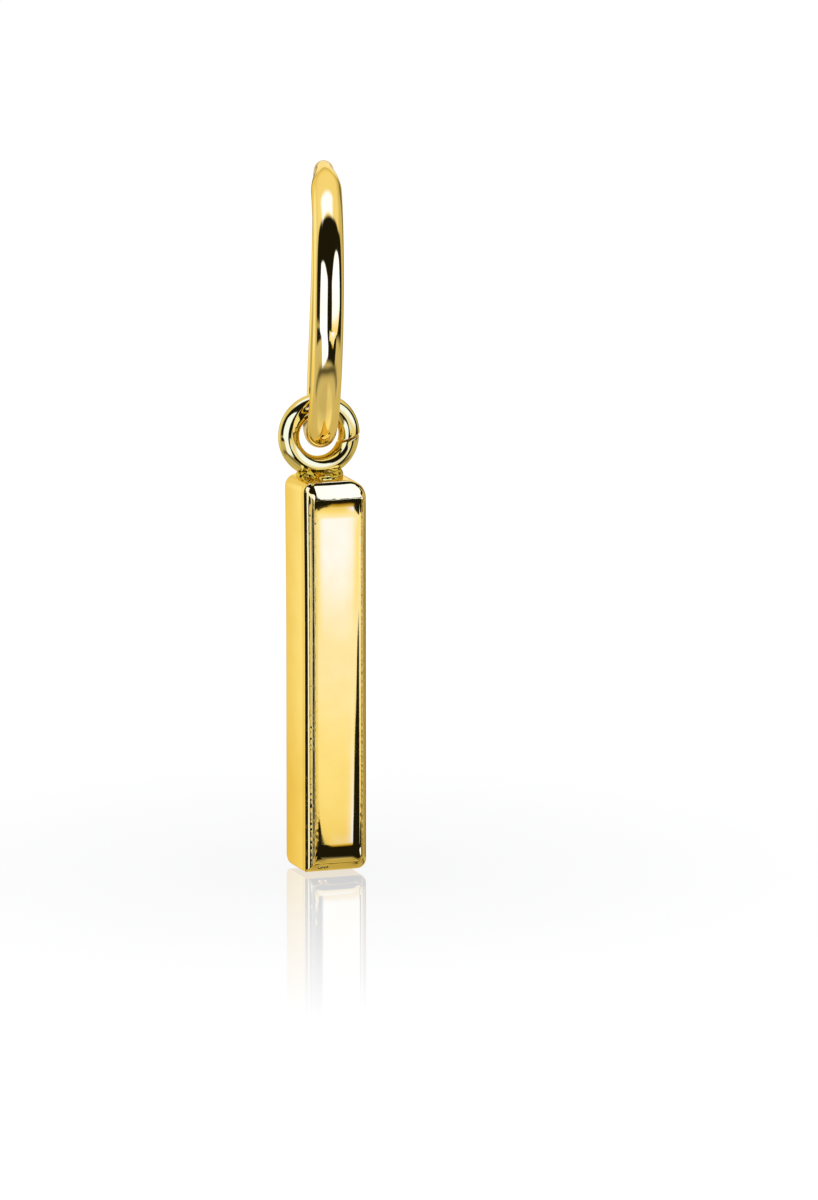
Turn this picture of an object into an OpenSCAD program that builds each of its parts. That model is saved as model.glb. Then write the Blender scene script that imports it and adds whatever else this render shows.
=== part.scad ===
// Bar earring: a round-wire ear hoop with a thin ear pin, and a square bar that hangs on it by a soldered jump ring.
// The origin is the middle of the ear pin's wire at the top of the hoop. +Z is up and -Y is the front.

/* [Hoop] */
// Radius of the hoop, to the middle of its wire
hoop_bend_r = 5.57; // [5.2:0.01:8]
// Diameter of the hoop's wire
hoop_wire_d = 1.3; // [1.2:0.05:1.5]
// Where the hoop's wire starts, in degrees from the top towards the front
hoop_start = 14; // [10:1:30]
// How far the hoop's wire runs past its lowest point, in degrees
hoop_past_bottom = 25; // [20:1:30]
// How far the hoop leans sideways from plumb, in degrees
hoop_lean = 1.2; // [0:0.1:3]

/* [Ear pin] */
// Diameter of the ear pin's wire
pin_wire_d = 0.8; // [0.7:0.05:0.9]
// How far the pin follows the hoop's circle past the top, in degrees
pin_past_top = 15; // [10:1:20]
// How far the pin's straight run lies behind the middle of the hoop
pin_back = 2.9; // [2.7:0.1:3.5]
// How far the pin reaches into each end of the hoop, in degrees of the hoop's circle
pin_seat = 8; // [5:1:12]
// Clearance between the pin and its sockets
pin_gap = 0.03; // [0.02:0.01:0.05]

/* [Jump ring] */
// Radius of the ring, to the middle of its wire
ring_bend_r = 1.35; // [1.3:0.01:1.5]
// Diameter of the ring's wire
ring_wire_d = 0.9; // [0.8:0.05:0.95]
// Clearance between the hoop's wire and the ring where the ring hangs
hang_gap = 0.05; // [0.04:0.01:0.08]
// Width of the saw cut where the ring's ends meet
slit_w = 0.08; // [0.06:0.01:0.12]
// Slope of the saw cut, in degrees
slit_tilt = 18; // [0:1:30]

/* [Bar] */
// Width and depth of the square bar
bar_w = 2.75; // [2.5:0.05:3.5]
// Length of the bar
bar_len = 16.9; // [12:0.05:25]
// How far the bar is turned from facing straight to the front, in degrees
bar_twist = 15.5; // [0:0.5:20]
// How far the middle of the bar lies to the right of the ring
bar_side_shift = 0.31; // [0:0.01:0.4]
// How far the middle of the bar lies in front of the ring
bar_front_shift = 0.3; // [0:0.01:0.4]
// Radius of the corner at the left of the bar's top
top_left_r = 0.55; // [0.4:0.05:1]
// Radius of the corner at the right of the bar's top
top_right_r = 0.85; // [0.4:0.05:1]
// Radius of the corner at the right of the bar's lower end
foot_corner_r = 0.45; // [0.3:0.05:0.6]
// Radius of the bar's lower edge at the back
foot_back_r = 0.45; // [0.3:0.05:0.6]
// Depth of the slanted frame round the front face
frame_depth = 0.24; // [0.2:0.01:0.4]
// Width of the frame at the sides of the front face
frame_side_w = 0.28; // [0.25:0.01:0.5]
// Width of the frame above the front face
frame_top_w = 0.73; // [0.5:0.01:1]
// Width of the frame below the front face
frame_foot_w = 0.36; // [0.3:0.01:0.6]
// Radius of the front face's slight dome, across the bar
dome_r = 8.5; // [6:0.5:20]

/* [Solder] */
// Width of the solder where it lies on the bar
solder_w = 1.75; // [1.4:0.05:2]
// Height of the solder above the bar
solder_h = 0.42; // [0.3:0.01:0.6]

/* [Hidden] */
$fn = 64;
hoop_gold = [0.93, 0.76, 0.36];
pin_gold = [0.9, 0.72, 0.33];
bar_gold = [0.95, 0.79, 0.4];
hoop_wire_r = hoop_wire_d / 2;
pin_wire_r = pin_wire_d / 2;
ring_wire_r = ring_wire_d / 2;
// Angles in the hoop's plane run from the back, over the top and the front, to the lowest point
top_angle = 90;
bottom_angle = 270;
hoop_from = top_angle + hoop_start;
hoop_to = bottom_angle + hoop_past_bottom;
// A socket is cut a little past the pin's end, and out through the hoop's end face
socket_spare = 1.5;
// A ball this much larger than the wire closes each joint between two stretches of the pin
joint_swell = 0.01;
// The two bends that lead the pin from the hoop's circle into its straight run
upper_bend_r = back_bend_r(pin_past_top);
lower_bend_r = back_bend_r(hoop_past_bottom);
upper_bend_at = (hoop_bend_r - upper_bend_r) * [sin(pin_past_top), cos(pin_past_top)];
lower_bend_at = (hoop_bend_r - lower_bend_r) * [sin(hoop_past_bottom), -cos(hoop_past_bottom)];
upper_bend_from = hoop_bend_r * [sin(pin_past_top), cos(pin_past_top)];
lower_bend_to = hoop_bend_r * [sin(hoop_past_bottom), -cos(hoop_past_bottom)];
// The ring hangs on the hoop's wire at its lowest point
ring_drop = ring_bend_r - ring_wire_r - hoop_wire_r - hang_gap;
ring_at = [-2 * hoop_bend_r * sin(hoop_lean), 0, -2 * hoop_bend_r * cos(hoop_lean) - ring_drop];
// The bar's top reaches a little into the ring's wire, where the solder holds it
ring_sink = 0.02;
bar_top_z = ring_sink - ring_bend_r - ring_wire_r;
slit_middle = [1.39, 0, -0.16];
// The solder is the cap of a ball, with a run that reaches the bar's front edge
solder_ball_r = (pow(solder_w / 2, 2) + pow(solder_h, 2)) / (2 * solder_h);
solder_run_r = 0.34;
solder_run_at = [-0.42, -1.05, bar_top_z - 0.12];
// How far the dome falls away where it meets the frame, and the depth of the frame's outer edge
dome_fall = dome_r - sqrt(pow(dome_r, 2) - pow(bar_w / 2 - frame_side_w, 2));
frame_edge = frame_depth + dome_fall;
// Blocks that cut the bar reach this far past it
cut_spare = 1;

// Radius of a bend that leaves the hoop's circle at an angle from the vertical and ends in the pin's straight run
function back_bend_r(angle) = (pin_back - hoop_bend_r * sin(angle)) / (1 - sin(angle));

// Puts what is drawn flat, with x to the back and y up, into the hoop's leaning plane
module in_hoop_plane() {
    rotate([0, hoop_lean, 0]) translate([0, 0, -hoop_bend_r]) rotate([90, 0, 90]) children();
}

// A bent stretch of round wire, drawn flat
module wire_bend(centre, bend_r, wire_r, from, to) {
    translate([centre[0], centre[1], 0])
        rotate([0, 0, from])
            rotate_extrude(angle = to - from) translate([bend_r, 0]) circle(r = wire_r);
}

module hoop() {
    color(hoop_gold) in_hoop_plane() difference() {
        wire_bend([0, 0], hoop_bend_r, hoop_wire_r, hoop_from, hoop_to);
        pin_socket(hoop_from - socket_spare, hoop_from + pin_seat + socket_spare);
        pin_socket(hoop_to - pin_seat - socket_spare, hoop_to + socket_spare);
    }
}

module pin_socket(from, to) {
    wire_bend([0, 0], hoop_bend_r, pin_wire_r + pin_gap, from, to);
}

module ear_pin() {
    color(pin_gold) in_hoop_plane() union() {
        wire_bend([0, 0], hoop_bend_r, pin_wire_r, top_angle - pin_past_top, hoop_from + pin_seat);
        wire_bend(upper_bend_at, upper_bend_r, pin_wire_r, 0, top_angle - pin_past_top);
        translate([pin_back, lower_bend_at[1], 0])
            rotate([-90, 0, 0]) cylinder(r = pin_wire_r, h = upper_bend_at[1] - lower_bend_at[1]);
        wire_bend(lower_bend_at, lower_bend_r, pin_wire_r, hoop_to - 360, 0);
        wire_bend([0, 0], hoop_bend_r, pin_wire_r, hoop_to - pin_seat, hoop_to);
        for (at = [upper_bend_from, [pin_back, upper_bend_at[1]], [pin_back, lower_bend_at[1]], lower_bend_to])
            translate([at[0], at[1], 0]) sphere(r = pin_wire_r + joint_swell);
    }
}

module bar_drop() {
    color(bar_gold) translate(ring_at) rotate([0, 0, bar_twist]) union() {
        jump_ring();
        translate([bar_side_shift, -bar_front_shift, bar_top_z]) bar();
        solder();
    }
}

module jump_ring() {
    difference() {
        rotate([90, 0, 0]) rotate_extrude() translate([ring_bend_r, 0]) circle(r = ring_wire_r);
        translate(slit_middle) rotate([0, -slit_tilt, 0])
            cube([1.5 * ring_wire_d, 1.5 * ring_wire_d, slit_w], center = true);
    }
}

// The bar hangs down from the middle of its top, with its framed face to the front
module bar() {
    half = bar_w / 2;
    difference() {
        intersection() {
            rotate([90, 0, 0]) linear_extrude(bar_w, center = true) bar_outline();
            translate([0, dome_r - half, -bar_len - cut_spare])
                cylinder(r = dome_r, h = bar_len + 2 * cut_spare, $fn = 180);
        }
        for (side = [-1, 1])
            translate([side * half, frame_edge - half, -bar_len / 2])
                rotate([0, 0, side * atan(frame_depth / frame_side_w)]) frame_cut(bar_w, 2 * bar_len);
        translate([0, frame_edge - half, 0])
            rotate([-atan(frame_edge / frame_top_w), 0, 0]) frame_cut(2 * bar_w, bar_w);
        translate([0, frame_edge - half, -bar_len])
            rotate([atan(frame_edge / frame_foot_w), 0, 0]) frame_cut(2 * bar_w, bar_w);
        translate([0, half - foot_back_r, foot_back_r - bar_len]) rotate([90, 0, 90])
            linear_extrude(2 * bar_w, center = true) corner_waste(foot_back_r);
    }
}

// The bar seen from the front, with x to the right and y up
module bar_outline() {
    half = bar_w / 2;
    difference() {
        translate([-half, -bar_len]) square([bar_w, bar_len]);
        translate([top_left_r - half, -top_left_r]) mirror([1, 0]) mirror([0, 1]) corner_waste(top_left_r);
        translate([half - top_right_r, -top_right_r]) mirror([0, 1]) corner_waste(top_right_r);
        translate([half - foot_corner_r, foot_corner_r - bar_len]) corner_waste(foot_corner_r);
    }
}

// What a rounded corner at the lower right takes away, drawn from the middle of its arc
module corner_waste(r) {
    difference() {
        translate([0, -r - cut_spare]) square([r + cut_spare, r + cut_spare]);
        circle(r = r);
    }
}

// A block whose back face lies on a slanted face of the frame
module frame_cut(w, h) {
    translate([-w / 2, -w, -h / 2]) cube([w, w, h]);
}

module solder() {
    intersection() {
        translate([0, 0, bar_top_z + solder_h - solder_ball_r]) sphere(r = solder_ball_r);
        translate([-solder_w, -solder_w, bar_top_z - ring_sink]) cube(2 * solder_w);
    }
    translate(solder_run_at) sphere(r = solder_run_r);
}

hoop();
ear_pin();
bar_drop();
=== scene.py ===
import bmesh
import bpy
import numpy as np
from math import asin, cos, pi, radians, sin, sqrt
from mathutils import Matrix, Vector, noise


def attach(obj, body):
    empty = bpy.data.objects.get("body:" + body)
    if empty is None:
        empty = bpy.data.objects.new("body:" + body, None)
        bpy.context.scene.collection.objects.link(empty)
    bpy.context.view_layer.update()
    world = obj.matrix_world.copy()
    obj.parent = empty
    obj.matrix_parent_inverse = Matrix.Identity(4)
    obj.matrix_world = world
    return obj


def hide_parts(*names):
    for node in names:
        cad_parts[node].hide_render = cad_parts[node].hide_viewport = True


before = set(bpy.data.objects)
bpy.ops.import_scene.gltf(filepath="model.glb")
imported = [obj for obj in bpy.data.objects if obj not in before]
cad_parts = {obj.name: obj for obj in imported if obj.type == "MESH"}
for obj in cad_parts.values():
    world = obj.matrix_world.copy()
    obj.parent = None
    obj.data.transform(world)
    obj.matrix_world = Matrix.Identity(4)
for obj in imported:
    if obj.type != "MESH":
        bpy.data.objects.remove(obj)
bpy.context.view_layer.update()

# The hoop
# The thick round wire at the front of the earring: brass bent in a circle, gold-plated and polished. Its
# upper end is drawn down to the pin's thickness, its lower end is rounded over, and a blind hole in each
# takes the pin. Lengths are in millimetres in the whole file.
HOOP_RADIUS = 5.57
HOOP_WIRE = 0.65
HOOP_LEAN = radians(1.2)
HOOP_START = radians(104)
HOOP_END = radians(295)
HOOP_RIM = 0.13
DRAWN_START = -1.3
DRAWN_LENGTH = 2.3
DRAWN_RADIUS = 0.408
SOCKET_RADIUS = 0.43
SOCKET_DEPTH = 0.924
HOOP_STEPS = 260
HOOP_SIDEWAYS = np.array([cos(HOOP_LEAN), 0.0, -sin(HOOP_LEAN)])
YELLOW_GOLD = (1.0, 0.78, 0.30)


def in_hoop_plane(back, up):
    """A point drawn flat, from the hoop's centre, put in its place."""
    height = up - HOOP_RADIUS
    return np.array([height * sin(HOOP_LEAN), back, height * cos(HOOP_LEAN)])


def rounded_rim(radius, rim, steps=8):
    """The rounded-over rim of a cut wire end: how far along the wire each ring lies, and its radius."""
    turns = np.linspace(0, pi / 2, steps + 1)
    return [(rim * (1 - cos(t)), radius - rim + rim * sin(t)) for t in turns]


def wire_rings(profile, centre_line, sideways, sides):
    """Rings of points round a bent wire, one for each place along it."""
    step = 1e-4
    rings = []
    for along, radius in profile:
        middle = centre_line(along)
        tangent = centre_line(along + step) - centre_line(along - step)
        outward = np.cross(tangent / np.linalg.norm(tangent), sideways)
        angles = np.linspace(0, 2 * pi, sides, endpoint=False)
        rings.append([middle + radius * (cos(a) * outward + sin(a) * sideways) for a in angles])
    return rings


def metal_piece(name, points, faces):
    """A smooth-shaded mesh piece from points in millimetres."""
    mesh = bpy.data.meshes.new(name)
    mesh.from_pydata([tuple(p) for p in np.asarray(points) * 0.001], [], faces)
    mesh.shade_smooth()
    mesh.update()
    made = bpy.data.objects.new(name, mesh)
    bpy.context.scene.collection.objects.link(made)
    return made


def skinned(name, rings):
    """A closed piece through rings of matching points, its ends closed at their middles."""
    rings = [np.asarray(ring) for ring in rings]
    count = len(rings[0])
    middles = [rings[0].mean(axis=0), rings[-1].mean(axis=0)]
    points = np.vstack(rings + middles)
    faces = []
    for k in range(len(rings) - 1):
        for i in range(count):
            j = (i + 1) % count
            faces.append((k * count + i, k * count + j, (k + 1) * count + j, (k + 1) * count + i))
    first_middle = len(rings) * count
    last_ring = first_middle - count
    for i in range(count):
        j = (i + 1) % count
        faces.append((first_middle, j, i))
        faces.append((first_middle + 1, last_ring + i, last_ring + j))
    return metal_piece(name, points, faces)


def polished_gold(name, tint, haze, line_depth, pit_depth):
    """Polished gold plate, mirror-bright, with faint polishing lines, tiny pits and a haze in patches."""
    material = bpy.data.materials.new(name)
    material.use_nodes = True
    nodes = material.node_tree.nodes
    link = material.node_tree.links.new
    shader = nodes["Principled BSDF"]
    shader.inputs["Metallic"].default_value = 1.0
    shader.inputs["Specular Tint"].default_value = (1.0, 0.86, 0.5, 1)
    place = nodes.new("ShaderNodeTexCoord")

    patches = nodes.new("ShaderNodeTexNoise")
    patches.inputs["Scale"].default_value = 900
    patches.inputs["Detail"].default_value = 3
    link(place.outputs["Object"], patches.inputs["Vector"])
    warmth = nodes.new("ShaderNodeValToRGB")
    warmth.name = "warmth"
    warmth.color_ramp.elements[0].position = 0.35
    warmth.color_ramp.elements[0].color = (tint[0] * 0.97, tint[1] * 0.95, tint[2] * 0.88, 1)
    warmth.color_ramp.elements[1].position = 0.65
    warmth.color_ramp.elements[1].color = (*tint, 1)
    link(patches.outputs["Fac"], warmth.inputs["Fac"])
    link(warmth.outputs["Color"], shader.inputs["Base Color"])

    gloss = nodes.new("ShaderNodeMapRange")
    gloss.name = "gloss"
    gloss.inputs["From Min"].default_value = 0.35
    gloss.inputs["From Max"].default_value = 0.7
    gloss.inputs["To Min"].default_value = haze * 0.6
    gloss.inputs["To Max"].default_value = haze * 1.5
    link(patches.outputs["Fac"], gloss.inputs["Value"])
    link(gloss.outputs["Result"], shader.inputs["Roughness"])

    along_wire = nodes.new("ShaderNodeMapping")
    along_wire.inputs["Scale"].default_value = (1, 1, 0.06)
    link(place.outputs["Object"], along_wire.inputs["Vector"])
    lines = nodes.new("ShaderNodeTexNoise")
    lines.inputs["Scale"].default_value = 22000
    lines.inputs["Detail"].default_value = 2
    link(along_wire.outputs["Vector"], lines.inputs["Vector"])
    line_bump = nodes.new("ShaderNodeBump")
    line_bump.inputs["Distance"].default_value = line_depth * 0.001
    link(lines.outputs["Fac"], line_bump.inputs["Height"])
    pits = nodes.new("ShaderNodeTexNoise")
    pits.inputs["Scale"].default_value = 9000
    pits.inputs["Detail"].default_value = 2
    link(place.outputs["Object"], pits.inputs["Vector"])
    pit_bump = nodes.new("ShaderNodeBump")
    pit_bump.name = "pits"
    pit_bump.inputs["Distance"].default_value = pit_depth * 0.001
    link(pits.outputs["Fac"], pit_bump.inputs["Height"])
    link(line_bump.outputs["Normal"], pit_bump.inputs["Normal"])
    link(pit_bump.outputs["Normal"], shader.inputs["Normal"])
    return material


hoop_length = HOOP_RADIUS * (HOOP_END - HOOP_START)


def hoop_centre_line(along):
    """The middle of the hoop's wire, this far along it from HOOP_START."""
    angle = HOOP_START + along / HOOP_RADIUS
    return in_hoop_plane(HOOP_RADIUS * cos(angle), HOOP_RADIUS * sin(angle))


hoop_mouth = [
    (SOCKET_DEPTH, 0.02),
    (SOCKET_DEPTH, SOCKET_RADIUS - 0.02),
    (SOCKET_DEPTH - 0.02, SOCKET_RADIUS),
    (0.04, SOCKET_RADIUS),
    (0.012, SOCKET_RADIUS + 0.008),
    (0.0, SOCKET_RADIUS + 0.03),
] + rounded_rim(HOOP_WIRE, HOOP_RIM)
# The upper hole narrows to a thin lip round the pin, where the drawn-down end starts
hoop_profile = hoop_mouth[:4] + [(DRAWN_START + 0.02, DRAWN_RADIUS - 0.004)]
for t in np.linspace(0, 1, 40):
    fullness = t * t * (3 - 2 * t)
    radius = DRAWN_RADIUS + (HOOP_WIRE - DRAWN_RADIUS) * fullness
    hoop_profile.append((DRAWN_START + DRAWN_LENGTH * t, radius))
for along in np.linspace(DRAWN_START + DRAWN_LENGTH, hoop_length - HOOP_RIM, HOOP_STEPS)[1:-1]:
    hoop_profile.append((along, HOOP_WIRE))
hoop_profile += [(hoop_length - along, radius) for along, radius in hoop_mouth[::-1]]
hoop = skinned("hoop_wire", wire_rings(hoop_profile, hoop_centre_line, HOOP_SIDEWAYS, 80))
hoop_gold = polished_gold("hoop_gold", YELLOW_GOLD, haze=0.05, line_depth=0.00008, pit_depth=0.0002)
hoop.data.materials.append(hoop_gold)
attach(hoop, "ear_hoop")
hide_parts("hoop")

# The ear pin
# The thin hard-drawn wire that goes through the ear, gold-plated. It sits in the hoop's upper hole, runs
# over the top, turns down in a soft bend and straight down the back, and plugs into the hoop's other hole.
PIN_WIRE = 0.4
PIN_BACK = 2.9
PIN_PAST_TOP = radians(15)
PIN_PAST_BOTTOM = radians(25)
PIN_SEAT = radians(8)
PIN_TIP = 0.12
PIN_BOW = 0.1
PIN_GOLD = (1.0, 0.77, 0.29)


def back_bend_radius(angle):
    """The radius of a bend that leaves the hoop's circle at this angle and ends in the straight run."""
    return (PIN_BACK - HOOP_RADIUS * sin(angle)) / (1 - sin(angle))


upper_bend = back_bend_radius(PIN_PAST_TOP)
lower_bend = back_bend_radius(PIN_PAST_BOTTOM)
upper_middle = (HOOP_RADIUS - upper_bend) * np.array([sin(PIN_PAST_TOP), cos(PIN_PAST_TOP)])
lower_middle = (HOOP_RADIUS - lower_bend) * np.array([sin(PIN_PAST_BOTTOM), -cos(PIN_PAST_BOTTOM)])
below_right = PIN_PAST_BOTTOM - pi / 2
pin_stretches = [
    ((0, 0), HOOP_RADIUS, HOOP_START + PIN_SEAT, pi / 2 - PIN_PAST_TOP),
    (upper_middle, upper_bend, pi / 2 - PIN_PAST_TOP, 0),
    ((PIN_BACK, upper_middle[1]), 0, upper_middle[1], lower_middle[1]),
    (lower_middle, lower_bend, 0, below_right),
    ((0, 0), HOOP_RADIUS, below_right, below_right - PIN_SEAT),
]


def pin_centre_line(along):
    """The middle of the pin's wire, this far along it, with the slight bow that it has sideways."""
    bow = PIN_BOW * max(0.0, sin(pi * along / pin_length)) ** 2 * HOOP_SIDEWAYS
    for number, (middle, bend, start, end) in enumerate(pin_stretches):
        length = abs(end - start) * (bend or 1)
        if along <= length or number == len(pin_stretches) - 1:
            break
        along -= length
    if bend == 0:
        return in_hoop_plane(PIN_BACK, start - along) + bow
    angle = start - along / bend
    return in_hoop_plane(middle[0] + bend * cos(angle), middle[1] + bend * sin(angle)) + bow


pin_length = sum(abs(end - start) * (bend or 1) for _, bend, start, end in pin_stretches)
pin_end = rounded_rim(PIN_WIRE, PIN_TIP)
pin_profile = list(pin_end)
for along in np.linspace(PIN_TIP, pin_length - PIN_TIP, 240)[1:-1]:
    pin_profile.append((along, PIN_WIRE))
pin_profile += [(pin_length - along, radius) for along, radius in pin_end[::-1]]
ear_pin = skinned("ear_pin_wire", wire_rings(pin_profile, pin_centre_line, HOOP_SIDEWAYS, 56))
pin_gold = polished_gold("pin_gold", PIN_GOLD, haze=0.07, line_depth=0.0002, pit_depth=0.0002)
ear_pin.data.materials.append(pin_gold)
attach(ear_pin, "ear_hoop")
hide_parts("ear_pin")

# The jump ring
# The round-wire ring that the drop hangs by, gold-plated. It is closed round the hoop, and its sawn ends
# meet in a slanting slit, the lower end a little inwards and forwards of the upper one.
RING_RADIUS = 1.35
RING_WIRE = 0.45
HANG_GAP = 0.05
DROP_TWIST = radians(15.5)
SLIT_WIDTH = 0.075
SLIT_SLOPE = radians(18)
SLIT_MIDDLE = (1.39, -0.16)
SLIT_RIM = 0.03
LOWER_END_IN = 0.035
LOWER_END_FORWARD = 0.03
RING_GOLD = (0.83, 0.68, 0.24)
ring_drop = RING_RADIUS - RING_WIRE - HOOP_WIRE - HANG_GAP
ring_middle = in_hoop_plane(0, -HOOP_RADIUS) + np.array([0, 0, -ring_drop])


def on_drop(right, back, up):
    """A point of the drop, measured from the ring's middle and square to the bar, put in its place."""
    return ring_middle + np.array([
        right * cos(DROP_TWIST) - back * sin(DROP_TWIST),
        right * sin(DROP_TWIST) + back * cos(DROP_TWIST),
        up,
    ])


slit_level = SLIT_MIDDLE[1] * cos(SLIT_SLOPE) - SLIT_MIDDLE[0] * sin(SLIT_SLOPE)
ring_ends = rounded_rim(RING_WIRE, SLIT_RIM, 4)
ring_places = [(0.0, 0.02)] + [(along, radius) for along, radius in ring_ends]
full_turn = 2 * pi * RING_RADIUS
for along in np.linspace(SLIT_RIM, full_turn - SLIT_RIM, 200)[1:-1]:
    ring_places.append((along, RING_WIRE))
ring_places += [(full_turn - along, radius) for along, radius in ring_ends[::-1]] + [(full_turn, 0.02)]
ring_rings = []
for along, radius in ring_places:
    share = along / full_turn
    near_end = max(0.0, (share - 0.9) / 0.1) ** 2
    loop = []
    for turn in np.linspace(0, 2 * pi, 64, endpoint=False):
        out = RING_RADIUS + radius * cos(turn)
        upper_end = SLIT_SLOPE + asin((slit_level + SLIT_WIDTH / 2) / out)
        lower_end = SLIT_SLOPE + asin((slit_level - SLIT_WIDTH / 2) / out) + 2 * pi
        angle = upper_end + (lower_end - upper_end) * share
        out -= LOWER_END_IN * near_end
        forward = radius * sin(turn) + LOWER_END_FORWARD * near_end
        loop.append(on_drop(out * cos(angle), -forward, out * sin(angle)))
    ring_rings.append(loop)
jump_ring = skinned("jump_ring", ring_rings)
ring_gold = polished_gold("ring_gold", RING_GOLD, haze=0.06, line_depth=0.0001, pit_depth=0.0003)
jump_ring.data.materials.append(ring_gold)
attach(jump_ring, "drop")
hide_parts("bar_drop")

# The bar
# The square bar that hangs below the ring, cast, gold-plated and polished. Its sides and back are plain.
# The front is a long, slightly domed mirror inside a slanted frame. The frame and its crease keep the grain
# that a file left. Where the grain is, they are painted a darker gold: partly the grain's tone, partly
# painted shade for the dark crease.
BAR_WIDTH = 2.75
BAR_LENGTH = 16.9
BAR_TOP = 0.02 - RING_RADIUS - RING_WIRE
BAR_RIGHT = 0.31
BAR_FORWARD = 0.3
HALF_BAR = BAR_WIDTH / 2
CORNER_POINTS = 14
SIDE_POINTS = 310
END_POINTS = 38
DOME_RADIUS = 11.0
PANEL_SUNK = 0.06
PANEL_EDGES = (0.51, 0.39, 0.745, 0.565)
PANEL_CORNERS = (0.04, 0.04, 0.3, 0.28)
# How wide each roll at the panel's edges is, and its slope there: forwards at the top, backwards elsewhere
LEFT_ROLL = (0.25, 0.06)
RIGHT_ROLL = (0.36, 0.165)
TOP_ROLLS = ((0.9, 0.135), (0.2, 0.03))
FOOT_ROLLS = ((0.62, 0.2), (1.8, 0.02))
# Over this height below the top, the right roll grows to its full size
RIGHT_ROLL_FADE = 1.6
# The top's rolls lose this share towards the left, from the middle on, over this width
TOP_ROLL_LOSS = 0.15
TOP_ROLL_LOSS_WIDTH = 0.85


def between(start, end, count):
    """Evenly spaced numbers between two others, without the two."""
    return np.linspace(start, end, count + 2)[1:-1]


def crowded(count):
    """Shares from 0 to 1, without the two, that lie closer together near both ends."""
    even = between(0, 1, count)
    return 0.5 * even + 0.25 * (1 - np.cos(pi * even))


def mixed(low, high, share):
    """From one value to another, by this share."""
    return low + (high - low) * share


def arc(middle, radius, start, end):
    """Points on a rounded corner, between two angles in degrees."""
    angles = np.radians(np.linspace(start, end, CORNER_POINTS))
    return np.column_stack([middle[0] + radius * np.cos(angles), middle[1] + radius * np.sin(angles)])


def bar_outline(insets, corners):
    """The bar seen from the front, inside its full outline: down the left, along the foot, up and back."""
    left, right, top, foot = insets
    top_left, top_right, foot_right, foot_left = corners
    west, east = left - HALF_BAR, HALF_BAR - right
    north, south = -top, foot - BAR_LENGTH
    down = between(0, 1, SIDE_POINTS)
    across = crowded(END_POINTS)
    left_side = north - top_left + (south + foot_left - north + top_left) * down
    foot_side = west + foot_left + (east - foot_right - west - foot_left) * across
    right_side = south + foot_right + (north - top_right - south - foot_right) * down
    top_side = east - top_right + (west + top_left - east + top_right) * across
    return np.vstack([
        arc((west + top_left, north - top_left), top_left, 90, 180),
        np.column_stack([np.full(SIDE_POINTS, west), left_side]),
        arc((west + foot_left, south + foot_left), foot_left, 180, 270),
        np.column_stack([foot_side, np.full(END_POINTS, south)]),
        arc((east - foot_right, south + foot_right), foot_right, 270, 360),
        np.column_stack([np.full(SIDE_POINTS, east), right_side]),
        arc((east - top_right, north - top_right), top_right, 0, 90),
        np.column_stack([top_side, np.full(END_POINTS, north)]),
    ])


def side_shares():
    """How much each point of an outline belongs to the left, right, top and foot."""
    turn = np.linspace(0, 1, CORNER_POINTS)
    shares = []
    order = (("top", "left"), ("left", "foot"), ("foot", "right"), ("right", "top"))
    column = {"left": 0, "right": 1, "top": 2, "foot": 3}
    counts = (SIDE_POINTS, END_POINTS, SIDE_POINTS, END_POINTS)
    for (leaves, enters), count in zip(order, counts):
        for t in turn:
            row = np.zeros(4)
            row[column[leaves]] = 1 - t
            row[column[enters]] = t
            shares.append(row)
        for _ in range(count):
            row = np.zeros(4)
            row[column[enters]] = 1
            shares.append(row)
    return np.array(shares)


def rolled(distance, width, slope):
    """How far a surface falls where it rolls off towards an edge at this distance."""
    return slope * width / 2 * np.clip(1 - distance / width, 0, None) ** 2


def panel_depth(x, z):
    """How far the mirror panel lies behind the bar's foremost plane."""
    from_left = x + HALF_BAR - PANEL_EDGES[0]
    from_right = HALF_BAR - PANEL_EDGES[1] - x
    from_top = -PANEL_EDGES[2] - z
    from_foot = z + BAR_LENGTH - PANEL_EDGES[3]
    depth = PANEL_SUNK + x ** 2 / (2 * DOME_RADIUS)
    depth = depth + rolled(from_left, *LEFT_ROLL)
    near_top = np.clip(1 - from_top / RIGHT_ROLL_FADE, 0, 1)
    depth = depth + rolled(from_right, *RIGHT_ROLL) * (1 - near_top)
    for roll in FOOT_ROLLS:
        depth = depth + rolled(from_foot, *roll)
    towards_left = np.clip(-x / TOP_ROLL_LOSS_WIDTH, 0, 1)
    for roll in TOP_ROLLS:
        depth = depth - rolled(from_top, *roll) * (1 - TOP_ROLL_LOSS * towards_left)
    return depth


def rough(points, size, seed):
    """Fine random heights between about -1 and 1, the same on every run."""
    shift = Vector((seed * 7.3, seed * 3.1, seed * 1.7))
    return np.array([noise.noise(Vector(p) / size + shift) for p in points])


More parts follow.
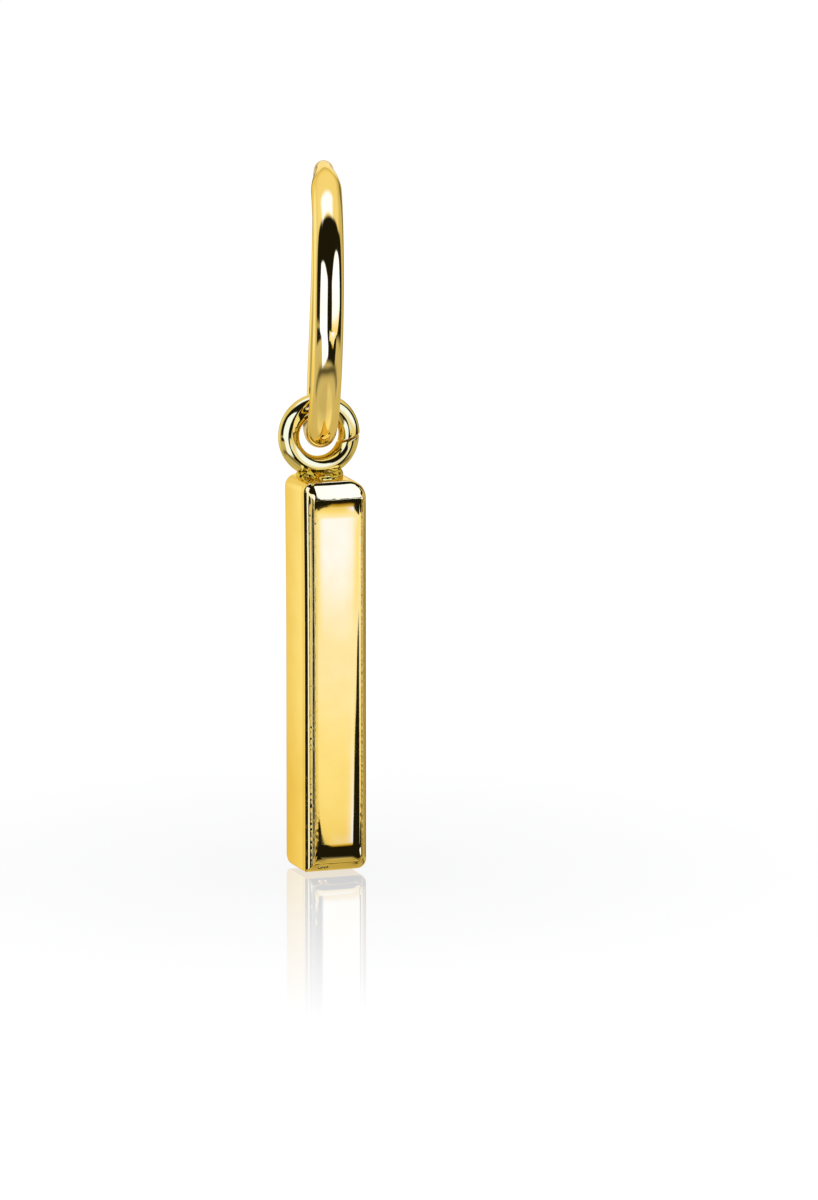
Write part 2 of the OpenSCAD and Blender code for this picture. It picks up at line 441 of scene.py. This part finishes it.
# Each loop of the front: its insets from the left, right, top and foot, its depths there, its corners, how
# rough it is, and how much it follows the panel's dome.
FRONT_LOOPS = [
    ((0.004, 0.004, 0.000, 0.004), (0.5, 0.480, 0.56, 0.48), (0.42, 0.82, 0.42, 0.05), 0, 0.0),
    ((0.004, 0.004, 0.000, 0.004), (0.44, 0.420, 0.48, 0.42), (0.42, 0.82, 0.42, 0.05), 0, 0.0),
    ((0.012, 0.006, 0.003, 0.006), (0.412, 0.400, 0.38, 0.4), (0.41, 0.82, 0.42, 0.05), 0.3, 0.0),
    ((0.032, 0.014, 0.010, 0.014), (0.382, 0.382, 0.325, 0.382), (0.40, 0.82, 0.42, 0.05), 0.4, 0.0),
    ((0.056, 0.028, 0.040, 0.026), (0.346, 0.355, 0.294, 0.364), (0.38, 0.80, 0.42, 0.05), 0.4, 0.0),
    ((0.078, 0.045, 0.068, 0.038), (0.313, 0.330, 0.274, 0.352), (0.37, 0.78, 0.42, 0.05), 0.4, 0.0),
    ((0.096, 0.060, 0.096, 0.050), (0.287, 0.318, 0.254, 0.345), (0.35, 0.76, 0.42, 0.05), 0.4, 0.0),
    ((0.108, 0.080, 0.124, 0.066), (0.276, 0.304, 0.234, 0.3386), (0.33, 0.72, 0.41, 0.05), 0.2, 0.0),
    ((0.130, 0.100, 0.155, 0.088), (0.262, 0.290, 0.221, 0.3298), (0.30, 0.68, 0.40, 0.05), 0.2, 0.1),
    ((0.160, 0.112, 0.190, 0.110), (0.249, 0.281, 0.2085, 0.3211), (0.28, 0.62, 0.39, 0.05), 0.4, 0.1),
    ((0.195, 0.134, 0.250, 0.150), (0.2405, 0.256, 0.187, 0.3052), (0.25, 0.56, 0.37, 0.05), 0.35, 0.2),
    ((0.225, 0.160, 0.320, 0.180), (0.237, 0.227, 0.162, 0.2932), (0.22, 0.50, 0.35, 0.05), 0.3, 0.3),
    ((0.255, 0.176, 0.400, 0.210), (0.2345, 0.215, 0.134, 0.2813), (0.20, 0.42, 0.33, 0.05), 0.35, 0.4),
    ((0.285, 0.194, 0.480, 0.240), (0.232, 0.202, 0.1055, 0.2693), (0.18, 0.34, 0.31, 0.05), 0.45, 0.5),
    ((0.300, 0.214, 0.560, 0.275), (0.222, 0.178, 0.077, 0.2554), (0.15, 0.24, 0.28, 0.05), 0.8, 0.7),
    ((0.318, 0.240, 0.630, 0.310), (0.19, 0.150, 0.052, 0.2415), (0.12, 0.16, 0.24, 0.05), 0.8, 0.85),
    ((0.336, 0.258, 0.690, 0.335), (0.157, 0.130, 0.0305, 0.2315), (0.08, 0.10, 0.20, 0.05), 0.9, 1.0),
    ((0.350, 0.272, 0.722, 0.352), (0.133, 0.138, 0.0175, 0.2308), (0.06, 0.06, 0.18, 0.05), 1, 1.0),
    ((0.360, 0.286, 0.735, 0.368), (0.1215, 0.136, 0.0095, 0.2184), (0.05, 0.05, 0.18, 0.06), 1, 1.0),
    ((0.372, 0.300, 0.739, 0.390), (0.117, 0.122, 0.0042, 0.2097), (0.05, 0.05, 0.20, 0.08), 0.6, 1.0),
    ((0.400, 0.325, 0.741, 0.450), (0.1135, 0.126, 0.0016, 0.1858), (0.05, 0.05, 0.24, 0.16), 0.25, 1.0),
    ((0.450, 0.350, 0.743, 0.510), (0.108, 0.1295, -0.0011, 0.1619), (0.05, 0.05, 0.27, 0.22), 0.2, 1.0),
    ((0.490, 0.378, 0.744, 0.550), (0.1037, 0.1335, -0.0024, 0.146), (0.045, 0.045, 0.29, 0.26), 0.15, 1.0),
]
PANEL_EDGE_DEPTHS = (0.1015, 0.1338, -0.0037, 0.14)
BACK_DEPTHS = (
    2.75, 2.744, 2.729, 2.705, 2.672, 2.63, 2.58, 2.51, 2.43, 2.3, 2.05, 1.75, 1.4, 1.1, 0.85, 0.7,
)
BACK_FILLET = 0.06
FOOT_FILLET = 0.45
FRAME_BACK = 0.42
FRAME_CORNERS = np.array((0.42, 0.82, 0.42, 0.05))
BACK_CORNERS = np.array((0.55, 0.85, 0.42, 0.05))
SIDE_DRAFT = 0.09
DRAFT_START = 0.6
SIDE_BULGE = 0.02
TOP_SWELL = 0.05
SWELL_HEIGHT = 8
SWELL_START = 0.5
# The file's coarse and fine grain: how deep each is, its size, and its place in the random heights
GRAINS = ((0.012, 0.15, 1), (0.007, 0.085, 2))
GRAIN_PATCH = 0.7
PANEL_EDGE_GRAIN = 0.15
# Two casting pits in the frame, a little above its foot: how far right each lies, and its size
PITS = ((-0.72, 0.05), (-0.47, 0.042))
PIT_RISE = 0.225
PIT_DEPTH = 0.08
CREASE_HAZE = 0.3
CREASE_HAZE_WIDTH = 0.9
GRAIN_HAZE = 0.14
# The darker gold painted where the frame is filed: the grain's tone, and painted shade for the crease
FILED_GOLD_AND_SHADE = (0.82, 0.58, 0.13)
bar_shares = side_shares()


def bulge(depth):
    """The sides are a little fuller in the middle of their depth than at the edges."""
    return SIDE_BULGE * ((depth - HALF_BAR) / HALF_BAR) ** 2


def top_swell(x, z):
    """The bar is a trace wider at the left of its top."""
    height_share = min(1.0, max(0.0, 1 + z / SWELL_HEIGHT))
    side_share = min(1.0, max(0.0, (SWELL_START - x) / (SWELL_START + HALF_BAR)))
    return TOP_SWELL * height_share ** 2 * side_share


def fillet_inset(depth, radius):
    """How far a rounded back edge of this radius draws the outline in at this depth."""
    past = max(0.0, depth - (BAR_WIDTH - radius))
    return radius - sqrt(max(0.0, radius ** 2 - past ** 2))


panel_edge = bar_outline(PANEL_EDGES, PANEL_CORNERS)
edge_depth = panel_depth(*panel_edge.T)
dome_fall = edge_depth - bar_shares @ np.array(PANEL_EDGE_DEPTHS)
bar_loops = []
bar_rough = []
bar_filed_and_shade = []
for depth in BACK_DEPTHS:
    side = fillet_inset(depth, BACK_FILLET) + bulge(depth)
    foot = fillet_inset(depth, FOOT_FILLET) + bulge(depth)
    towards_back = (depth - FRAME_BACK) / (BAR_WIDTH - FRAME_BACK)
    corners = mixed(FRAME_CORNERS, BACK_CORNERS, towards_back)
    draft = SIDE_DRAFT * max(0.0, (depth - DRAFT_START) / (BAR_WIDTH - DRAFT_START))
    outline = bar_outline((side - draft, side, side, foot), corners)
    bar_loops.append(np.column_stack([outline[:, 0], np.full(len(outline), depth), outline[:, 1]]))
    bar_rough.append(np.zeros(len(outline)))
    bar_filed_and_shade.append(np.zeros(len(outline)))
for insets, depths, corners, roughness, domed in FRONT_LOOPS:
    outline = bar_outline(insets, corners)
    depth = bar_shares @ np.array(depths) + domed * dome_fall
    # The grain is strongest on the left, comes in patches, and hardly reaches the top outside the crease
    share = roughness * (1 - 0.5 * bar_shares[:, 3] - 0.35 * bar_shares[:, 1])
    if roughness < 0.85:
        share = share * (1 - 0.85 * bar_shares[:, 2])
    flat = np.column_stack([outline[:, 0], depth, outline[:, 1]])
    share = share * np.clip(0.7 + 1.1 * rough(flat, GRAIN_PATCH, 3), 0.15, 1.2)
    for height, size, number in GRAINS:
        depth = depth + height * share * rough(flat, size, number)
    for right, size in PITS:
        spot = np.hypot(outline[:, 0] - right, outline[:, 1] + BAR_LENGTH - PIT_RISE)
        depth = depth + PIT_DEPTH * np.exp(-(spot / size) ** 2)
    bar_loops.append(np.column_stack([outline[:, 0], depth, outline[:, 1]]))
    bar_rough.append(share)
    # The darker gold goes on most of the frame, little of it on its top and foot: partly painted shade
    less_filed_and_shade = 0.9 * bar_shares[:, 2] + 0.5 * bar_shares[:, 1]
    bar_filed_and_shade.append((1 - less_filed_and_shade) * min(1.0, 4 * roughness))
bar_loops.append(np.column_stack([panel_edge[:, 0], edge_depth, panel_edge[:, 1]]))
bar_rough.append(np.full(len(panel_edge), PANEL_EDGE_GRAIN))
bar_filed_and_shade.append(np.zeros(len(panel_edge)))


def filled(edge, shape):
    """Points and faces that fill an outline row by row, from its left and right ends."""
    rows = 2 * CORNER_POINTS + SIDE_POINTS
    count = len(edge)
    left = list(range(rows))
    right = list(range(rows + END_POINTS, 2 * rows + END_POINTS))[::-1]
    foot = list(range(rows, rows + END_POINTS))
    top = list(range(2 * rows + END_POINTS, count))[::-1]
    across = crowded(END_POINTS)
    points = []
    grid = []
    for row in range(rows):
        inner = top if row == 0 else foot if row == rows - 1 else None
        if inner is None:
            start, end = edge[left[row]], edge[right[row]]
            inner = []
            for share in across:
                x = mixed(start[0], end[0], share)
                z = mixed(start[2], end[2], share)
                inner.append(len(points) + count)
                points.append((x, shape(x, z), z))
        grid.append([left[row]] + inner + [right[row]])
    faces = []
    for row in range(rows - 1):
        for k in range(END_POINTS + 1):
            faces.append((grid[row][k], grid[row + 1][k], grid[row + 1][k + 1], grid[row][k + 1]))
    return points, faces


outline_count = len(panel_edge)
back_points, back_faces = filled(bar_loops[0], lambda x, z: BAR_WIDTH)
front_points, front_faces = filled(bar_loops[-1], panel_depth)
bar_points = list(np.vstack(bar_loops))
last_loop = (len(bar_loops) - 1) * outline_count
after_loops = len(bar_points)
bar_faces = []
for loop in range(len(bar_loops) - 1):
    for i in range(outline_count):
        j = (i + 1) % outline_count
        start = loop * outline_count
        end = start + outline_count
        bar_faces.append((start + i, start + j, end + j, end + i))
for face in back_faces:
    placed = [i if i < outline_count else i - outline_count + after_loops for i in face]
    bar_faces.append(tuple(placed[::-1]))
front_shift = after_loops + len(back_points) - outline_count
for face in front_faces:
    placed = [i + last_loop if i < outline_count else i + front_shift for i in face]
    bar_faces.append(tuple(placed))
bar_points += back_points + front_points
hung_points = []
for x, depth, z in bar_points:
    right = x - top_swell(x, z) + BAR_RIGHT
    hung_points.append(on_drop(right, depth - HALF_BAR - BAR_FORWARD, z + BAR_TOP))
bar = metal_piece("bar", hung_points, bar_faces)
# Where the darker gold goes, which is partly painted shade for the crease
filed_and_shade_layer = bar.data.attributes.new("filed_and_shade", "FLOAT", "POINT")
filed_and_shade_values = np.concatenate(bar_filed_and_shade + [np.zeros(len(back_points) + len(front_points))])
filed_and_shade_layer.data.foreach_set("value", filed_and_shade_values.astype(np.float32))
worked_layer = bar.data.attributes.new("worked", "FLOAT", "POINT")
below_crease = -PANEL_EDGES[2] - np.array(front_points)[:, 2]
panel_worked = CREASE_HAZE * np.clip(1 - below_crease / CREASE_HAZE_WIDTH, 0, 1)
worked_values = np.concatenate(bar_rough + [np.zeros(len(back_points)), panel_worked])
worked_layer.data.foreach_set("value", worked_values.astype(np.float32))

bar_gold = polished_gold("bar_gold", YELLOW_GOLD, haze=0.035, line_depth=0.00004, pit_depth=0.0001)
bar_nodes = bar_gold.node_tree.nodes
bar_link = bar_gold.node_tree.links.new
grain = bar_nodes.new("ShaderNodeAttribute")
grain.attribute_name = "worked"
grain_gloss = bar_nodes.new("ShaderNodeMath")
grain_gloss.operation = "MULTIPLY_ADD"
grain_gloss.inputs[1].default_value = GRAIN_HAZE
bar_link(grain.outputs["Fac"], grain_gloss.inputs[0])
bar_link(bar_nodes["gloss"].outputs["Result"], grain_gloss.inputs[2])
bar_link(grain_gloss.outputs["Value"], bar_nodes["Principled BSDF"].inputs["Roughness"])
# The darker gold where the frame is filed, which is partly painted shade for the crease
filed_and_shade_part = bar_nodes.new("ShaderNodeAttribute")
filed_and_shade_part.attribute_name = "filed_and_shade"
filed_and_shade_tint = bar_nodes.new("ShaderNodeMixRGB")
filed_and_shade_tint.inputs["Color2"].default_value = (*FILED_GOLD_AND_SHADE, 1)
bar_link(filed_and_shade_part.outputs["Fac"], filed_and_shade_tint.inputs["Fac"])
bar_link(bar_nodes["warmth"].outputs["Color"], filed_and_shade_tint.inputs["Color1"])
bar_link(filed_and_shade_tint.outputs["Color"], bar_nodes["Principled BSDF"].inputs["Base Color"])
bar.data.materials.append(bar_gold)
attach(bar, "drop")
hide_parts("bar_drop")

# The solder
# Gold solder that holds the ring on the bar's top, left as it flowed: a lumpy seat under the ring, a run
# that hangs over the bar's front edge, and a few small beads.
SOLDER_GOLD = (0.72, 0.53, 0.09)
FLOW_STEP = 0.055
LUMP_REACH = 1.7
MERGED_WITHIN = 0.012
SMOOTHINGS = 8
UNEVEN_HEIGHT = 0.03
UNEVEN_SIZE = 0.3
# Each lump: how far right, back and up of the middle of the bar's top it lies, and its size
LUMPS = [
    (0.00, 0.05, 0.05, 0.42), (-0.45, 0.02, 0.06, 0.36), (0.45, 0.02, 0.06, 0.38),
    (0.80, 0.00, 0.10, 0.28), (-0.80, 0.02, 0.10, 0.24), (0.05, -0.34, 0.02, 0.36),
    (-0.30, -0.42, 0.02, 0.30), (0.42, -0.36, 0.02, 0.32), (0.72, -0.22, 0.04, 0.26),
    (-0.22, -0.74, -0.04, 0.27), (0.18, -0.76, -0.06, 0.24), (-0.42, -1.00, -0.10, 0.22),
    (-0.40, -1.20, -0.16, 0.17), (0.0, 0.38, 0.02, 0.34), (-0.84, -0.30, 0.06, 0.17),
    (-0.82, -0.60, 0.03, 0.13), (-0.80, -0.80, 0.00, 0.09), (0.50, -0.62, -0.08, 0.2),
]
flow = bpy.data.metaballs.new("flow")
flow.resolution = FLOW_STEP
flow.render_resolution = FLOW_STEP
for right, back, up, size in LUMPS:
    lump = flow.elements.new()
    lump.co = (right, back, up + BAR_TOP)
    lump.radius = LUMP_REACH * size
flowed = bpy.data.objects.new("flowed", flow)
bpy.context.scene.collection.objects.link(flowed)
bpy.context.view_layer.update()
flowed_mesh = bpy.data.meshes.new_from_object(flowed.evaluated_get(bpy.context.evaluated_depsgraph_get()))
bpy.data.objects.remove(flowed)
evened = bmesh.new()
evened.from_mesh(flowed_mesh)
bmesh.ops.remove_doubles(evened, verts=evened.verts, dist=MERGED_WITHIN)
every_way = {"use_axis_x": True, "use_axis_y": True, "use_axis_z": True}
for _ in range(SMOOTHINGS):
    bmesh.ops.smooth_vert(evened, verts=evened.verts, factor=0.5, **every_way)
evened.normal_update()
evened.to_mesh(flowed_mesh)
evened.free()
flowed_mesh.update()
solder_points = []
for vertex in flowed_mesh.vertices:
    p = vertex.co + vertex.normal * (UNEVEN_HEIGHT * noise.noise(vertex.co / UNEVEN_SIZE))
    solder_points.append(on_drop(p.x, p.y, p.z))
solder_faces = [tuple(face.vertices) for face in flowed_mesh.polygons]
solder = metal_piece("solder", solder_points, solder_faces)
solder_gold = polished_gold("solder_gold", SOLDER_GOLD, haze=0.17, line_depth=0.00002, pit_depth=0.00005)
solder.data.materials.append(solder_gold)
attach(solder, "drop")
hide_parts("bar_drop")

# The floor
# A plain white floor just below the bar's foot. It is faintly polished near the foot, where it mirrors the
# lower end of the bar, and plain farther out.
FLOOR_GAP = 0.12
FLOOR_SIZE = 1500.0
MIRROR_SHARE = 0.42
MIRROR_REACH = 30.0
foot_level = ring_middle[2] + BAR_TOP - BAR_LENGTH
foot_place = on_drop(BAR_RIGHT, -BAR_FORWARD, 0)
floor_level = foot_level - FLOOR_GAP
corner_signs = ((-1, -1), (1, -1), (1, 1), (-1, 1))
floor_corners = [(x * FLOOR_SIZE / 2, y * FLOOR_SIZE / 2, floor_level) for x, y in corner_signs]
floor = metal_piece("floor", floor_corners, [(0, 1, 2, 3)])
floor_white = bpy.data.materials.new("floor_white")
floor_white.use_nodes = True
floor_nodes = floor_white.node_tree.nodes
floor_link = floor_white.node_tree.links.new
floor_nodes.clear()
floor_out = floor_nodes.new("ShaderNodeOutputMaterial")
floor_glow = floor_nodes.new("ShaderNodeEmission")
floor_glow.inputs["Color"].default_value = (1.0, 1.0, 1.01, 1)
floor_glow.inputs["Strength"].default_value = 1.03
floor_mirror = floor_nodes.new("ShaderNodeBsdfGlossy")
floor_mirror.inputs["Roughness"].default_value = 0.04
floor_mix = floor_nodes.new("ShaderNodeMixShader")
floor_place = floor_nodes.new("ShaderNodeTexCoord")
floor_centre = floor_nodes.new("ShaderNodeVectorMath")
floor_centre.operation = "DISTANCE"
floor_centre.inputs[1].default_value = (foot_place[0] * 0.001, foot_place[1] * 0.001, floor_level * 0.001)
floor_fade = floor_nodes.new("ShaderNodeMapRange")
floor_fade.inputs["From Min"].default_value = 0.0
floor_fade.inputs["From Max"].default_value = MIRROR_REACH * 0.001
floor_fade.inputs["To Min"].default_value = MIRROR_SHARE
floor_fade.inputs["To Max"].default_value = 0.0
floor_link(floor_place.outputs["Object"], floor_centre.inputs[0])
floor_link(floor_centre.outputs["Value"], floor_fade.inputs["Value"])
floor_link(floor_fade.outputs["Result"], floor_mix.inputs["Fac"])
floor_link(floor_glow.outputs["Emission"], floor_mix.inputs[1])
floor_link(floor_mirror.outputs["BSDF"], floor_mix.inputs[2])
floor_link(floor_mix.outputs["Shader"], floor_out.inputs["Surface"])
floor.data.materials.append(floor_white)
floor.visible_glossy = False

# The studio light
# A white light tent with its front half dark, and white cards in front of it. They light the earring and
# give the metal something to mirror. The camera doesn't see them: to it, the room is plain white.
STUDIO_MIDDLE = np.array([0.0, 0.0, -14.0])
TENT_RADIUS = 420.0
TENT_ROWS = 220
TENT_COLUMNS = 300
WARM = (1.0, 0.925, 0.67)
BRIGHT = (1.15, 1.45, 3.4)


def eased(value, start, end):
    """From 0 to 1, softly, as the value goes from start to end."""
    share = np.clip((value - start) / (end - start), 0, 1)
    return share * share * (3 - 2 * share)


def glowing(sheet, colours, cover):
    """Gives a sheet of the studio its own light: a colour and a cover for each point."""
    values = np.column_stack([colours, cover]).astype(np.float32)
    layer = sheet.data.attributes.new("glow", "FLOAT_COLOR", "POINT")
    layer.data.foreach_set("color", values.ravel())
    material = bpy.data.materials.new(sheet.name)
    material.use_nodes = True
    nodes = material.node_tree.nodes
    link = material.node_tree.links.new
    nodes.clear()
    glow = nodes.new("ShaderNodeAttribute")
    glow.attribute_name = "glow"
    lamp = nodes.new("ShaderNodeEmission")
    clear = nodes.new("ShaderNodeBsdfTransparent")
    mix = nodes.new("ShaderNodeMixShader")
    surface = nodes.new("ShaderNodeOutputMaterial")
    link(glow.outputs["Color"], lamp.inputs["Color"])
    link(glow.outputs["Alpha"], mix.inputs["Fac"])
    link(clear.outputs["BSDF"], mix.inputs[1])
    link(lamp.outputs["Emission"], mix.inputs[2])
    link(mix.outputs["Shader"], surface.inputs["Surface"])
    sheet.data.materials.append(material)
    sheet.visible_camera = False
    sheet.visible_shadow = False


def studio_card(name, azimuth, distance, across, upright, shade, steps=72):
    """An upright card at this azimuth, 0 at the front and 90 at the right, with its spans across and up."""
    a = radians(azimuth)
    middle = STUDIO_MIDDLE * np.array([1, 1, 0]) + distance * np.array([sin(a), -cos(a), 0])
    points, spots = [], []
    for u in np.linspace(*across, steps + 1):
        for v in np.linspace(*upright, steps + 1):
            points.append(middle + u * np.array([cos(a), sin(a), 0]) + np.array([0, 0, v]))
            spots.append((u, v))
    row = steps + 1
    faces = [
        (i * row + j, i * row + j + 1, (i + 1) * row + j + 1, (i + 1) * row + j)
        for i in range(steps) for j in range(steps)
    ]
    card = metal_piece(name, points, faces)
    colours, cover = shade(*np.array(spots).T)
    glowing(card, colours, cover)


def tinted(strength, tint):
    """The same tint at each point's own strength."""
    return np.outer(strength, tint)


def left_card(u, v):
    """The large white card at the left, its lower left cut away."""
    left = np.interp(v, (-80, -44, -34, 0), (-30, -38, -80, -84))
    right = np.interp(v, (-80, -40, 0), (96, 66, 62))
    top = 90 - 0.004 * (u + 20) ** 2
    cover = eased(u - left, 0, 8) * eased(right - u, 0, 8) * eased(v, -118, -100) * eased(top - v, -4, 4)
    return tinted(np.ones(len(u)), BRIGHT), cover


def right_card(u, v):
    """The large white card at the right, which turns warmer towards its lower edge."""
    right = np.interp(v, (-40, -16), (50, 98))
    top = 90 - 0.006 * (u - 10) ** 2
    cover = eased(u, -74, -62) * eased(right - u, 0, 8) * eased(v, -40, -38) * eased(top - v, -4, 4)
    warmth = eased(-v, 4, 36)[:, None]
    return mixed(np.array(BRIGHT), np.array(WARM), warmth), cover


def bar_card(u, v):
    """The card that the bar's mirror panel shows: white above, golden below, and darkest at its foot."""
    heights = (-52.3, -50.2, -48.2, -46.1, -44, -42, -40.4)
    height_fade = np.interp(v, heights, (0, 0.09, 0.19, 0.23, 0.5, 0.85, 0.92))
    sides = (-34, -30, -27, -20, -12, 8, 15, 27, 40, 51)
    side_fade = np.interp(u, sides, (0, 0.17, 0.5, 0.78, 1, 1, 0.8, 0.55, 0.3, 0.03))
    side_fade = mixed(1.0, side_fade, eased(v, -48, -45))
    low_sides = (-34, -28.5, -24, -14, -8.5, -3, 10, 16, 22)
    low = np.interp(u, low_sides, (-56.4, -57.2, -58.8, -60.2, -61.5, -69, -69, -69, -67))
    rim_fade = np.interp(-v, (48, 51, 54.6, 57, 60, 61.5), (0, 0.15, 0.6, 1, 0.9, 0))
    rim = np.exp(-((u - 21) / 6) ** 2) * rim_fade
    foot_rim = 0.16 * np.exp(-((v + 59.8) / 1.2) ** 2) * eased(u, -10, 0)
    whiteness = np.clip(height_fade * side_fade + rim + foot_rim, 0, 1)
    depths = (-69.5, -67, -64.5, -62, -60, -57, -54, -51)
    colours = np.column_stack([
        np.interp(v, depths, (0.15, 0.30, 0.50, 0.74, 0.90, 0.96, 1.00, 1.03)),
        np.interp(v, depths, (0.08, 0.18, 0.37, 0.58, 0.79, 0.87, 0.95, 1.00)) + 0.3 * whiteness,
        np.interp(v, depths, (0.00, 0.02, 0.06, 0.18, 0.40, 0.55, 0.70, 0.82)) + 2.4 * whiteness,
    ])
    right = np.interp(v, (-66, -62, -56.4, -52.2, -50.9, -48.3, -47.3), (26, 25, 28, 38, 48, 57, 110))
    cover = eased(right - u, 0, 4) * eased(v - low, 0, 0.6) * eased(u, -62, -50) * eased(-v, 36, 38)
    return colours, cover


studio_card("left_card", -33, 130, (-86, 100), (-120, 124), left_card)
studio_card("right_card", 52, 130, (-76, 98), (-40, 114), right_card)
studio_card("bar_card", 33, 128, (-62, 97), (-72, -36), bar_card, 240)

tent_points = []
for i in range(TENT_ROWS + 1):
    rise = pi * (i / TENT_ROWS - 0.5) * 0.9999
    for j in range(TENT_COLUMNS):
        turn = 2 * pi * j / TENT_COLUMNS
        tent_points.append((sin(turn) * cos(rise), -cos(turn) * cos(rise), sin(rise)))
tent_faces = []
for i in range(TENT_ROWS):
    for j in range(TENT_COLUMNS):
        k = (j + 1) % TENT_COLUMNS
        row, above = i * TENT_COLUMNS, (i + 1) * TENT_COLUMNS
        tent_faces.append((row + j, above + j, above + k, row + k))
tent_points = np.array(tent_points)
tent = metal_piece("light_tent", STUDIO_MIDDLE + TENT_RADIUS * tent_points, tent_faces)
tent_x, tent_y, tent_z = tent_points.T
tent_azimuth = np.degrees(np.arctan2(tent_x, -tent_y))

# Its warm light is stronger overhead, weaker in two strips at the back, and uneven straight below
tent_level = mixed(0.64, 0.95, eased(tent_z, 0.3, 0.6))
back_strips = eased(tent_azimuth, 138, 142) * eased(-tent_azimuth, -158, -154)
back_strips += eased(-tent_azimuth, 157, 160) * eased(tent_azimuth, -174, -171)
tent_level = tent_level * (1 - 0.7 * back_strips * eased(-np.abs(tent_z), -0.3, -0.15))
below = 0.60 + 0.2 * eased(tent_x, 0.02, 0.2) + 0.25 * eased(tent_y, -0.1, 0.4)
tent_level = mixed(tent_level, below, eased(-tent_z, 0.79, 0.88))

# The dark front half reaches further back at the sides, and stops above the foot, with a low band under it
side = np.abs(tent_x)
dark_edge = -0.15 + 0.45 * side ** 2.4
dark_edge = dark_edge - 0.28 * np.clip(0.55 - tent_z, 0, 1) * side ** 2 * (tent_x < 0)
dark_edge = dark_edge + 0.22 * eased(-tent_z, -0.55, -0.25) * side ** 2 * (tent_x > 0)
dark_foot = -0.62 + 0.50 * eased(-tent_x, 0.05, 0.6) + 0.33 * eased(tent_azimuth, 62, 67)
dark = eased(dark_edge - tent_y, -0.03, 0.05) * eased(tent_z - dark_foot, -0.04, 0.06)
low_band = np.exp(-((tent_z + 0.71 - 0.2 * tent_x ** 2) / 0.055) ** 2) * eased(-tent_y, -0.3, -0.1)

# A low, narrow shade at the left, for the bar's arris to mirror
arris_shade = eased(tent_azimuth, -97, -88) * eased(-tent_azimuth, 50, 54)
arris_shade = arris_shade * eased(-np.abs(tent_z + 0.21), -0.08, -0.05)
dark = np.maximum(dark, arris_shade)
dark = np.maximum(dark, 0.85 * low_band * eased(-side, -0.95, -0.75))

# A bright patch straight overhead, and a white window at the back
overhead = eased(tent_y, -0.15, -0.05) * eased(-tent_y, -0.34, -0.2) * eased(tent_z, 0.5, 0.7)
overhead = overhead * eased(tent_x, -0.66, -0.42) * eased(-tent_x, -0.56, -0.32)
from_window = np.abs((tent_azimuth - 176.8 + 180) % 360 - 180)
window = eased(-from_window, -22, -14) * eased(tent_z, 0.02, 0.08) * eased(-tent_z, -0.36, -0.28)

# The light behind the left side, whiter towards the front and more golden towards the floor
left_glow = eased(tent_azimuth, -170, -155) * eased(-tent_azimuth, 100, 125)
left_glow = left_glow * eased(-np.abs(tent_z), -0.5, -0.3)
towards_front = eased(tent_azimuth, -146, -138)[:, None]
side_light = mixed(np.array((0.88, 0.79, 0.52)), np.array((1.03, 1.05, 0.95)), towards_front)
towards_floor = eased(-tent_z, 0.224, 0.236)[:, None]
side_light = side_light * mixed(np.ones(3), np.array((0.93, 0.85, 0.6)), towards_floor)

tent_colours = mixed(tinted(tent_level, WARM), side_light, left_glow[:, None])
tent_colours = mixed(tent_colours, np.ones(3), window[:, None])
tent_colours = mixed(tent_colours, 0.012 * np.array(WARM), dark[:, None])
tent_colours = mixed(tent_colours, np.array(BRIGHT), overhead[:, None])
glowing(tent, tent_colours, np.ones(len(tent_level)))

room = bpy.data.worlds.new("room")
bpy.context.scene.world = room
room.use_nodes = True
room.node_tree.nodes["Background"].inputs["Color"].default_value = (1, 1, 1, 1)
room.node_tree.nodes["Background"].inputs["Strength"].default_value = 1.03

# The camera
# A long lens, a little to the left of the front and slightly above, with the earring left of the picture's
# middle, as in the photograph.
CAMERA_AZIMUTH = radians(-3.2)
CAMERA_ELEVATION = radians(11.5)
CAMERA_DISTANCE = 600.0
FRAME_HEIGHT = 50.76
# How far right of the origin and below it the picture's middle lies
MIDDLE_RIGHT = 3.596
MIDDLE_DOWN = 18.126
view_out = Vector((
    sin(CAMERA_AZIMUTH) * cos(CAMERA_ELEVATION),
    -cos(CAMERA_AZIMUTH) * cos(CAMERA_ELEVATION),
    sin(CAMERA_ELEVATION),
))
view_right = Vector((cos(CAMERA_AZIMUTH), sin(CAMERA_AZIMUTH), 0))
view_up = view_out.cross(view_right)
view_middle = view_right * MIDDLE_RIGHT - view_up * MIDDLE_DOWN
lens = bpy.data.cameras.new("camera")
lens.sensor_fit = "VERTICAL"
lens.sensor_height = 24
lens.lens = 24 * CAMERA_DISTANCE / FRAME_HEIGHT
lens.clip_start = 0.01
lens.clip_end = 10
camera = bpy.data.objects.new("camera", lens)
bpy.context.scene.collection.objects.link(camera)
camera.location = (view_middle + view_out * CAMERA_DISTANCE) * 0.001
camera.rotation_euler = (-view_out).to_track_quat("-Z", "Y").to_euler()
bpy.context.scene.camera = camera
bpy.context.scene.view_settings.view_transform = "Standard"
